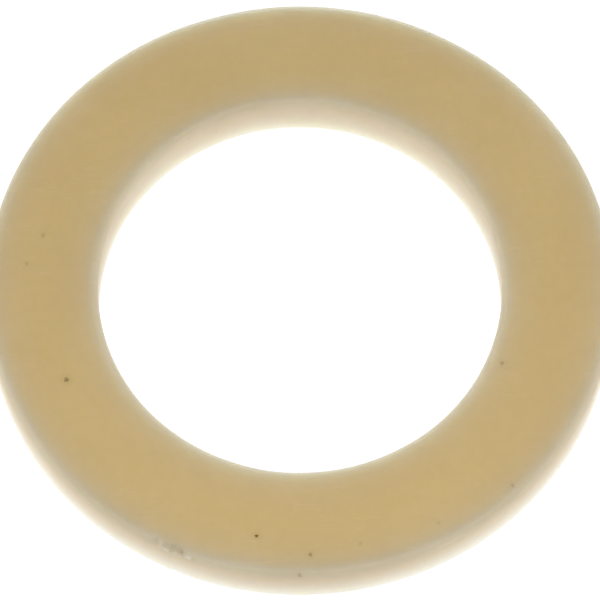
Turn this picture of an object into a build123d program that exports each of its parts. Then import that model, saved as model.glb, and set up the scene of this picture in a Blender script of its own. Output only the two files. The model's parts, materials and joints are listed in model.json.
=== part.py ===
from build123d import *
import os

# A plain flat washer, moulded in one piece from natural nylon. It lies flat, with its
# axis on Z, its lower face on Z = 0 and its centre on the origin. Sizes in millimetres.

# Driving dimensions
outer_diameter = 22.2
bore_diameter = 14.3  # clears a 14 mm bolt
thickness = 2.2
edge_round = 0.22  # both upper edges, and the lower edge of the bore
foot_round = 0.50  # the lower outer edge, which is rounder than the others

os.makedirs("parts", exist_ok=True)

# The ring, with every edge rounded: a moulded edge is never sharp
with BuildPart() as washer:
    with BuildSketch():
        Circle(outer_diameter / 2)
        Circle(bore_diameter / 2, mode=Mode.SUBTRACT)
    extrude(amount=thickness)

    upper_edges = washer.faces().sort_by(Axis.Z)[-1].edges()
    fillet(upper_edges, edge_round)

    lower_edges = washer.faces().sort_by(Axis.Z)[0].edges().sort_by(SortBy.RADIUS)
    fillet(lower_edges[0], edge_round)

    lower_edges = washer.faces().sort_by(Axis.Z)[0].edges().sort_by(SortBy.RADIUS)
    fillet(lower_edges[-1], foot_round)

washer.part.label = "washer"
export_step(washer.part, "parts/washer.step")
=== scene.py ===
import json
import math

import bpy
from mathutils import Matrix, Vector


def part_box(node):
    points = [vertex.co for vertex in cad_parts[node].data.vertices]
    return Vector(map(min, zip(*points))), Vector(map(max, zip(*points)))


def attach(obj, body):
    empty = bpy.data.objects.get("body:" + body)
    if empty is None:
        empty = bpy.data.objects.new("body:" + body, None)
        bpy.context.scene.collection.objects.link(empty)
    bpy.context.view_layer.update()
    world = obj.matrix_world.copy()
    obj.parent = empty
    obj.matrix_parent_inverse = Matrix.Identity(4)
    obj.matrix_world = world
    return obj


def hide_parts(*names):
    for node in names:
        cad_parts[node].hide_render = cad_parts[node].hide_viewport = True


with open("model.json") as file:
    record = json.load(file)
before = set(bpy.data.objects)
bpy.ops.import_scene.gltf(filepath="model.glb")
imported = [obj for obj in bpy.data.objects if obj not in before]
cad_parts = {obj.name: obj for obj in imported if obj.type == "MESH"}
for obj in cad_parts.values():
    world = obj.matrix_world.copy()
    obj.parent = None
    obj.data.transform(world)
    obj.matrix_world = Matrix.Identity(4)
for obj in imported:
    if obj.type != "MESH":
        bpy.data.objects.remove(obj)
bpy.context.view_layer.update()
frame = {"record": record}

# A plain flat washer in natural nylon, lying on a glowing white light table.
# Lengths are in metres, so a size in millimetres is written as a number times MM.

MM = 0.001

# The washer's sizes, as the frame gives them
WASHER_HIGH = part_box("washer")[1]
OUTER_RADIUS = WASHER_HIGH.x
THICKNESS = WASHER_HIGH.z
BORE = next(mount for mount in frame["record"]["mounts"] if mount["name"] == "bore")
BORE_RADIUS = BORE["dims"]["r_mm"] * MM
RING_WIDTH = OUTER_RADIUS - BORE_RADIUS
EDGE_ROUND = (THICKNESS - BORE["dims"]["length_mm"] * MM) / 2
FOOT_ROUND = 0.50 * MM  # at the bottom of the outer wall

# How finely the ring is divided
TURN_STEP = math.radians(0.5)
BURR_STEP = math.radians(0.1)
FACE_STEPS = 28
WALL_STEPS = 10
ROUND_STEPS = 8

# The burr: a thin lip that the mould left on the upper outer edge
BURR_FROM = math.radians(241.0)
BURR_TO = math.radians(251.0)
BURR_PEAKS = (  # middle in degrees, how far it stands out in mm, half its width in degrees
    (246.0, 0.15, 2.0),
    (249.4, 0.12, 0.6),
)
BURR_RIPPLES = ((310, 0.30), (830, 0.25))  # waves round the whole ring, depth as a share of the reach
BURR_LEAST = 0.002 * MM  # less reach than this leaves the edge as it is
BURR_FULL = 0.08 * MM  # the reach at which the lip is lifted fully
BURR_LIFT = 0.85  # how much of the edge's drop the lip takes back
BURR_LIFT_SPEED = 1.6  # how soon it does so, going up the rounded edge

# The chip beside the burr: its middle and half its width in degrees, and how much it widens the
# rounded edge, as a share of the edge's radius
CHIP_MIDDLE = 243.0
CHIP_HALF_WIDTH = 0.9
CHIP_DEPTH = 0.8

# The rounded edges are worn unevenly: how many waves round the ring, and how deep as a share
# of the edge's radius
EDGE_WEAR = ((3, 0.10), (7, 0.06), (16, 0.04))

# Dark specks in the upper face: angle in degrees, place across the ring from 0 at the bore
# to 1 at the rim, diameter in mm, and how dark from 0 to 1
SPECKS = (
    (204, 0.47, 0.17, 0.62),
    (261, 0.65, 0.12, 0.90),
    (272, 0.80, 0.13, 0.45),
    (337, 0.15, 0.14, 0.40),
    (270, 0.99, 0.14, 0.35),
    (282, 0.75, 0.11, 0.22),
    (298, 0.80, 0.11, 0.22),
    (314, 0.90, 0.12, 0.30),
    (168, 0.55, 0.16, 0.30),
    (175, 0.65, 0.14, 0.25),
)
BURR_PAINTED_SHADE = (  # painted shade where the burr is darker than the edge beside it, in the same terms
    (245.0, 0.98, 0.30, 0.18),
    (246.3, 0.98, 0.35, 0.22),
    (247.5, 0.98, 0.30, 0.24),
    (248.0, 0.98, 0.18, 0.40),
)
HALO_WIDTH = 2.2  # a faint stain round each speck, as a share of its diameter
HALO_DARKNESS = 0.14  # and of its darkness

# Nylon: tan across the face, and paler down the walls to the foot, where the light comes in; the paler
# walls and foot and the duller upper edges are painted light and painted shade
FACE_COLOUR = (0.55, 0.41, 0.17, 1.0)
BORE_PAINTED_LIGHT_TONES = (  # painted light and shade down the wall of the bore: painted shade at its rounded edge, painted light below that, and painted glow at the foot
    (0.435, 0.375, 0.275, 1.0),
    (0.58, 0.485, 0.34, 1.0),
    (0.77, 0.74, 0.64, 1.0),
)
RIM_PAINTED_LIGHT_TONES = (  # and the same painted light and shade down the outer wall
    (0.415, 0.36, 0.27, 1.0),
    (0.56, 0.465, 0.32, 1.0),
    (0.90, 0.90, 0.86, 1.0),
)
# the specks' colour, also used for the painted shade on the burr
SPECK_AND_SHADE_COLOUR = (0.13, 0.06, 0.005, 1.0)
EDGE_FADE = 0.45 * MM  # how far the edge's painted shade and glow reaches into the face
EDGE_DROP = 0.03 * MM  # how far down the edge its painted tone begins to turn
WALL_START = 0.45 * MM  # and how much further down the wall's own painted light is reached
SUB_RADIUS = (2.4, 2.2, 1.4)
SUB_SCALE = 1.0 * MM
SUB_WEIGHT = 1.0
NYLON_IOR = 1.53

# Tone, grain and scratches
NOISE_ROUGHNESS = 0.55
NOISE_RANGE = (0.35, 0.65)  # the part of a noise's values that the tones use
RUB_RANGE = (0.3, 0.7)  # and the part that the roughness uses
CLOUD_SIZE = 3.0 * MM
CLOUD_DEPTH = 0.6
CLOUD_COLOUR = (0.965, 0.95, 0.92, 1.0)
MOTTLE_SIZE = 0.35 * MM
MOTTLE_DEPTH = 0.5
MOTTLE_COLOUR = (0.96, 0.955, 0.94, 1.0)
SPOT_EDGE = 0.8  # where a speck ends, as a share of its diameter
SPOT_CORE = 0.2  # and where it is darkest
HALO_CORE = 0.3  # the same for its stain
SPECK_WOBBLE_SIZE = 0.10 * MM
SPECK_WOBBLE = 0.12 * MM
SPECK_PIT = 0.01 * MM
SHEEN = 0.5
SPECK_SHEEN = 0.1  # the moulded-in specks, and the burr where its shade is painted, shine less than the nylon
SCRATCH_SETS = ((20.0, 0.0), (115.0, 4 * MM))  # direction in degrees, where the pattern starts
SCRATCH_STRETCH = 14.0
SCRATCH_LENGTH = 4.0 * MM
SCRATCH_GAP = 2.5 * MM
SCRATCH_WIDTH = 0.012  # how close to its middle value the noise is in a scratch
SCRATCH_BREAKS = (0.50, 0.62)  # the values of a second noise that fade the scratches in
SCRATCH_COLOUR = (0.66, 0.56, 0.36, 1.0)
SCRATCH_PALENESS = 0.12
SCRATCH_ROUGHNESS = 0.10
SCRATCH_CUT = 0.0015 * MM
GRAIN_SIZE = 0.10 * MM
GRAIN_HEIGHT = 0.002 * MM
GRAIN_ROUGHNESS = 0.08
RUB_SIZE = 1.6 * MM
ROUGHNESS = (0.40, 0.54)  # from the least to the most rubbed place

# Light: a glowing table below, an even room above, a soft lamp nearly overhead, and three low
# lamps round the washer
FLOOR_SIZE = 2.0
FLOOR_DROP = 0.03 * MM  # how far below the washer the table lies
FLOOR_GLOW = 0.98
FLOOR_BASE = 0.1
FLOOR_ROUGHNESS = 0.9
ROOM_GLOW = 0.32
WHITE_LIGHT = (1.0, 1.0, 1.0)
COOL_LIGHT = (0.75, 0.87, 1.0)
LOW_LAMPS = (  # turn in degrees from the back, power in watts, and colour
    ("left_lamp", -90.0, 0.042, WHITE_LIGHT),
    ("back_lamp", 0.0, 0.058, COOL_LIGHT),
    ("right_lamp", 90.0, 0.030, WHITE_LIGHT),
)
LOW_LAMP_REACH = 95 * MM
LOW_LAMP_HEIGHT = 25 * MM
LAMP_POWER = 0.0185
LAMP_PLACE = Vector((4, -20, 40)) * MM
LAMP_SIZE = 80 * MM

# Camera: a long lens from well above the table, aimed a little beyond the washer's middle
VIEW_ELEVATION = math.radians(65.6)
VIEW_DISTANCE = 25.0 * OUTER_RADIUS
VIEW_AIM = Vector((0.0, 0.42, 0.0)) * MM
VIEW_NEAREST = 1 * MM
VIEW_FARTHEST = 10.0
SENSOR_MM = 36.0
LENS_MM = 467.0


def arc(centre, start, end, radius):
    """Points round a rounded corner of the section, from one angle to another in degrees."""
    points = []
    for step in range(ROUND_STEPS):
        angle = math.radians(start + (end - start) * step / ROUND_STEPS)
        points.append((centre[0] + radius * math.cos(angle), centre[1] + radius * math.sin(angle)))
    return points


def straight(start, end, steps):
    """Points along a straight side of the section, without its end."""
    return [
        (start[0] + (end[0] - start[0]) * step / steps, start[1] + (end[1] - start[1]) * step / steps)
        for step in range(steps)
    ]


def worn_edge(angle):
    """The radius of the ring's rounded edges at this angle; each set of waves starts elsewhere."""
    wear = 1.0
    for waves, depth in EDGE_WEAR:
        wear += depth * math.sin(waves * angle + waves)
    return EDGE_ROUND * wear


def rim_edge(angle):
    """The radius of the upper outer edge at this angle, which the chip widens."""
    away = (math.degrees(angle) - CHIP_MIDDLE) / CHIP_HALF_WIDTH
    return worn_edge(angle) * (1 + CHIP_DEPTH * math.exp(-away ** 2))


def section(edge, rim):
    """The ring's section as (radius, height), anticlockwise from the inner end of the lower face."""
    inner, outer, top = BORE_RADIUS, OUTER_RADIUS, THICKNESS
    foot = FOOT_ROUND
    points = straight((inner + edge, 0), (outer - foot, 0), FACE_STEPS)
    points += arc((outer - foot, foot), -90, 0, foot)
    points += straight((outer, foot), (outer, top - rim), WALL_STEPS)
    points += arc((outer - rim, top - rim), 0, 90, rim)
    points += straight((outer - rim, top), (inner + edge, top), FACE_STEPS)
    points += arc((inner + edge, top - edge), 90, 180, edge)
    points += straight((inner, top - edge), (inner, edge), WALL_STEPS)
    points += arc((inner + edge, edge), 180, 270, edge)
    return points


def turn_angles():
    """Angles round the ring, closer together along the burr."""
    angles = []
    angle = 0.0
    while angle < 2 * math.pi - 1e-6:
        angles.append(angle)
        angle += BURR_STEP if BURR_FROM <= angle < BURR_TO else TURN_STEP
    return angles


def burr_reach(angle):
    """How far the burr stands out at this angle."""
    reach = 0.0
    for degrees, peak, half_width in BURR_PEAKS:
        away = (math.degrees(angle) - degrees) / half_width
        reach = max(reach, peak * MM * math.exp(-away ** 4))
    for waves, depth in BURR_RIPPLES:
        reach *= 1 - depth * math.sin(waves * angle) ** 2
    return reach


def with_burr(radius, height, angle, rim):
    """A point of the section at this angle, with the burr that the mould left on it."""
    reach = burr_reach(angle)
    rise = (height - (THICKNESS - rim)) / rim
    if reach < BURR_LEAST or radius < OUTER_RADIUS - rim or rise < 0:
        return radius, height
    lip = min(1.0, reach / BURR_FULL)
    height += (THICKNESS - height) * BURR_LIFT * lip * min(1.0, rise * BURR_LIFT_SPEED)
    radius += reach * math.sin(math.pi * min(1.0, rise))
    return radius, height


def ring_mesh():
    """The ring, as one closed mesh of quads."""
    angles = turn_angles()
    count = len(section(EDGE_ROUND, EDGE_ROUND))
    vertices = []
    for angle in angles:
        rim = rim_edge(angle)
        for radius, height in section(worn_edge(angle), rim):
            r, z = with_burr(radius, height, angle, rim)
            vertices.append((r * math.cos(angle), r * math.sin(angle), z))
    faces = []
    for turn in range(len(angles)):
        here = turn * count
        there = (turn + 1) % len(angles) * count
        for side in range(count):
            after = (side + 1) % count
            faces.append((here + side, there + side, there + after, here + after))
    mesh = bpy.data.meshes.new("nylon_ring")
    mesh.from_pydata(vertices, [], faces)
    mesh.polygons.foreach_set("use_smooth", [True] * len(mesh.polygons))
    mesh.update()
    return mesh


class Nodes:
    """A short way to write a node tree."""

    def __init__(self, tree):
        self.tree = tree
        tree.nodes.clear()

    def add(self, kind, inputs=(), **settings):
        node = self.tree.nodes.new(kind)
        for name, value in settings.items():
            setattr(node, name, value)
        for name, value in dict(inputs).items():
            self.set(node.inputs[name], value)
        return node

    def set(self, socket, value):
        if isinstance(value, bpy.types.NodeSocket):
            self.tree.links.new(value, socket)
        else:
            socket.default_value = value

    def math(self, operation, first, second=0.0, third=0.0, clamp=False):
        node = self.add("ShaderNodeMath", {0: first, 1: second, 2: third}, operation=operation)
        node.use_clamp = clamp
        return node.outputs[0]

    def ramp(self, value, low, high, at_low, at_high):
        inputs = {"Value": value, "From Min": low, "From Max": high, "To Min": at_low, "To Max": at_high}
        return self.add("ShaderNodeMapRange", inputs, interpolation_type="SMOOTHSTEP").outputs[0]

    def noise(self, place, size, detail, output="Fac"):
        inputs = {"Vector": place, "Scale": 1.0 / size, "Detail": detail, "Roughness": NOISE_ROUGHNESS}
        return self.add("ShaderNodeTexNoise", inputs).outputs[output]

    def mix(self, factor, first, second, blend="MIX"):
        node = self.add("ShaderNodeMix", {}, data_type="RGBA", blend_type=blend)
        self.set(node.inputs[0], factor)
        self.set(node.inputs[6], first)
        self.set(node.inputs[7], second)
        return node.outputs[2]


def ring_colour_with_painted_light(n, place):
    """Tan across the faces, duller at the upper edges with painted shade, and paler down the walls to the
    foot with painted light.
    """
    x, y, z = n.add("ShaderNodeSeparateXYZ", {"Vector": place}).outputs
    away = n.math("SQRT", n.math("ADD", n.math("MULTIPLY", x, x), n.math("MULTIPLY", y, y)))
    from_bore = n.math("SUBTRACT", away, BORE_RADIUS)
    from_rim = n.math("SUBTRACT", OUTER_RADIUS, away)
    inside = n.math("SUBTRACT", n.math("MINIMUM", from_bore, from_rim), EDGE_ROUND)
    inside = n.math("MAXIMUM", inside, 0.0)
    # the painted shade and glow of the upper edges fade into the face
    nearness = n.math("EXPONENT", n.math("DIVIDE", inside, -EDGE_FADE))
    drop = n.math("SUBTRACT", THICKNESS - EDGE_DROP, z)
    to_wall = n.math("DIVIDE", drop, WALL_START, clamp=True)
    to_foot = n.math("DIVIDE", n.math("SUBTRACT", drop, WALL_START), THICKNESS - WALL_START, clamp=True)
    at_rim = n.math("GREATER_THAN", away, (BORE_RADIUS + OUTER_RADIUS) / 2)
    # the painted tones: shade at the upper edges, light down the walls and glow at the foot
    edge, wall, foot = [n.mix(at_rim, bore, rim) for bore, rim in zip(BORE_PAINTED_LIGHT_TONES, RIM_PAINTED_LIGHT_TONES)]
    wall = n.mix(to_foot, n.mix(to_wall, edge, wall), foot)
    return n.mix(nearness, FACE_COLOUR, wall)


def clouds(n, place, colour):
    """Slow changes of tone, as the resin froze unevenly, and a fine mottle over them."""
    slow = n.noise(place, CLOUD_SIZE, detail=2.0)
    fine = n.noise(place, MOTTLE_SIZE, detail=3.0)
    colour = n.mix(n.ramp(slow, *NOISE_RANGE, 0.0, CLOUD_DEPTH), colour, CLOUD_COLOUR, "MULTIPLY")
    return n.mix(n.ramp(fine, *NOISE_RANGE, 0.0, MOTTLE_DEPTH), colour, MOTTLE_COLOUR, "MULTIPLY")


def on_upper_face(angle, across):
    """The point at this angle and this far across the ring, on the upper face or its rounded edges."""
    radius = BORE_RADIUS + across * RING_WIDTH
    inset = min(across, 1 - across) * RING_WIDTH
    edge = worn_edge(angle)
    over = max(edge - inset, 0.0)
    height = THICKNESS - edge + math.sqrt(edge ** 2 - over ** 2)
    return radius * math.cos(angle), radius * math.sin(angle), height


def speck_and_shade_mask(n, place):
    """How dark the moulded-in specks are, each a small uneven spot, and the painted shade on the burr."""
    wobble = n.noise(place, SPECK_WOBBLE_SIZE, detail=1.0, output="Color")
    shift = n.add("ShaderNodeVectorMath", {0: wobble, 1: (0.5, 0.5, 0.5)}, operation="SUBTRACT").outputs[0]
    shift = n.add("ShaderNodeVectorMath", {0: shift, "Scale": SPECK_WOBBLE}, operation="SCALE").outputs[0]
    shifted = n.add("ShaderNodeVectorMath", {0: place, 1: shift}, operation="ADD").outputs[0]
    mask = 0.0
    for degrees, across, diameter, darkness in SPECKS + BURR_PAINTED_SHADE:
        centre = on_upper_face(math.radians(degrees), across)
        width = diameter * MM
        away = n.add("ShaderNodeVectorMath", {0: shifted, 1: centre}, operation="DISTANCE").outputs["Value"]
        spot = n.ramp(away, SPOT_EDGE * width, SPOT_CORE * width, 0.0, darkness)
        halo = n.ramp(away, HALO_WIDTH * width, HALO_CORE * width, 0.0, HALO_DARKNESS * darkness)
        mask = n.math("MAXIMUM", mask, n.math("MAXIMUM", spot, halo))
    return mask


def scratches(n, place):
    """Hairline scratches in two directions, 1 in a scratch and 0 elsewhere."""
    lines = 0.0
    for degrees, start in SCRATCH_SETS:
        turned = n.add("ShaderNodeMapping", {
            "Vector": place,
            "Location": (start, start, 0.0),
            "Rotation": (0.0, 0.0, math.radians(degrees)),
            "Scale": (1.0, SCRATCH_STRETCH, 1.0),
        }).outputs[0]
        field = n.noise(turned, SCRATCH_LENGTH, detail=1.0)
        off_line = n.math("ABSOLUTE", n.math("SUBTRACT", field, 0.5))
        line = n.ramp(off_line, SCRATCH_WIDTH, 0.0, 0.0, 1.0)
        broken = n.ramp(n.noise(place, SCRATCH_GAP, detail=1.0), *SCRATCH_BREAKS, 0.0, 1.0)
        lines = n.math("MAXIMUM", lines, n.math("MULTIPLY", line, broken))
    return lines


def nylon():
    """Natural nylon: satin, slightly translucent, with specks, scratches and a moulded grain."""
    material = bpy.data.materials.new("natural_nylon")
    material.use_nodes = True
    n = Nodes(material.node_tree)
    place = n.add("ShaderNodeTexCoord").outputs["Object"]
    specks_and_shade = speck_and_shade_mask(n, place)
    lines = scratches(n, place)
    grain = n.noise(place, GRAIN_SIZE, detail=4.0)
    rub = n.noise(place, RUB_SIZE, detail=3.0)

    colour = clouds(n, place, ring_colour_with_painted_light(n, place))
    colour = n.mix(n.math("MULTIPLY", lines, SCRATCH_PALENESS), colour, SCRATCH_COLOUR)
    # the specks and the painted shade on the burr
    colour = n.mix(specks_and_shade, colour, SPECK_AND_SHADE_COLOUR)

    roughness = n.ramp(rub, *RUB_RANGE, *ROUGHNESS)
    roughness = n.math("MULTIPLY_ADD", lines, SCRATCH_ROUGHNESS, roughness)
    roughness = n.math("MULTIPLY_ADD", grain, GRAIN_ROUGHNESS, roughness)

    height = n.math("MULTIPLY_ADD", lines, -SCRATCH_CUT, n.math("MULTIPLY", grain, GRAIN_HEIGHT))
    height = n.math("MULTIPLY_ADD", specks_and_shade, -SPECK_PIT, height)
    bump = n.add("ShaderNodeBump", {"Height": height, "Distance": 1.0, "Strength": 1.0}).outputs[0]

    shader = n.add("ShaderNodeBsdfPrincipled", {
        "Base Color": colour,
        "Roughness": roughness,
        "Specular IOR Level": n.ramp(specks_and_shade, 0.0, 1.0, SHEEN, SPECK_SHEEN),
        "Normal": bump,
        "IOR": NYLON_IOR,
        "Subsurface Weight": SUB_WEIGHT,
        "Subsurface Radius": SUB_RADIUS,
        "Subsurface Scale": SUB_SCALE,
    })
    shader.subsurface_method = "RANDOM_WALK"
    n.add("ShaderNodeOutputMaterial", {"Surface": shader.outputs[0]})
    return material


def table():
    """The light table: a pale floor that glows white."""
    bpy.ops.mesh.primitive_plane_add(size=FLOOR_SIZE, location=(0, 0, -FLOOR_DROP))
    floor = bpy.context.object
    floor.name = "light_table"
    material = bpy.data.materials.new("white_glow")
    material.use_nodes = True
    n = Nodes(material.node_tree)
    shader = n.add("ShaderNodeBsdfPrincipled", {
        "Base Color": (FLOOR_BASE, FLOOR_BASE, FLOOR_BASE, 1.0),
        "Roughness": FLOOR_ROUGHNESS,
        "Emission Color": (1.0, 1.0, 1.0, 1.0),
        "Emission Strength": FLOOR_GLOW,
    })
    n.add("ShaderNodeOutputMaterial", {"Surface": shader.outputs[0]})
    floor.data.materials.append(material)


def soft_light():
    """The dim, even light of the room."""
    world = bpy.data.worlds.new("room")
    bpy.context.scene.world = world
    world.use_nodes = True
    n = Nodes(world.node_tree)
    background = n.add("ShaderNodeBackground", {"Color": (1.0, 1.0, 1.0, 1.0), "Strength": ROOM_GLOW})
    n.add("ShaderNodeOutputWorld", {"Surface": background.outputs[0]})


def soft_box(name, place, power, colour):
    """A round soft box, turned to the washer and unseen by the camera."""
    data = bpy.data.lights.new(name, "AREA")
    data.shape = "DISK"
    data.size = LAMP_SIZE
    data.energy = power
    data.color = colour
    light = bpy.data.objects.new(name, data)
    light.location = place
    light.rotation_euler = (-light.location).to_track_quat("-Z", "Y").to_euler()
    light.visible_camera = False
    bpy.context.scene.collection.objects.link(light)


def lamps():
    """The lamp nearly overhead, and the low lamps to the left, behind and to the right."""
    soft_box("lamp", LAMP_PLACE, LAMP_POWER, WHITE_LIGHT)
    for name, turn, power, colour in LOW_LAMPS:
        angle = math.radians(turn)
        place = Vector((math.sin(angle), math.cos(angle), 0.0)) * LOW_LAMP_REACH
        soft_box(name, place + Vector((0.0, 0.0, LOW_LAMP_HEIGHT)), power, colour)


def camera():
    """A long lens at the viewing angle, with no tilt to either side."""
    data = bpy.data.cameras.new("camera")
    data.sensor_width = SENSOR_MM
    data.lens = LENS_MM
    data.clip_start = VIEW_NEAREST
    data.clip_end = VIEW_FARTHEST
    view = bpy.data.objects.new("camera", data)
    back = Vector((0, -math.cos(VIEW_ELEVATION), math.sin(VIEW_ELEVATION)))
    view.location = VIEW_AIM + back * VIEW_DISTANCE
    view.rotation_euler = (math.pi / 2 - VIEW_ELEVATION, 0, 0)
    bpy.context.scene.collection.objects.link(view)
    bpy.context.scene.camera = view


camera()
table()
soft_light()
lamps()

washer = bpy.data.objects.new("nylon_washer", ring_mesh())
bpy.context.scene.collection.objects.link(washer)
washer.data.materials.append(nylon())
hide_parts("washer")
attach(washer, "root")

bpy.context.scene.view_settings.view_transform = "Standard"
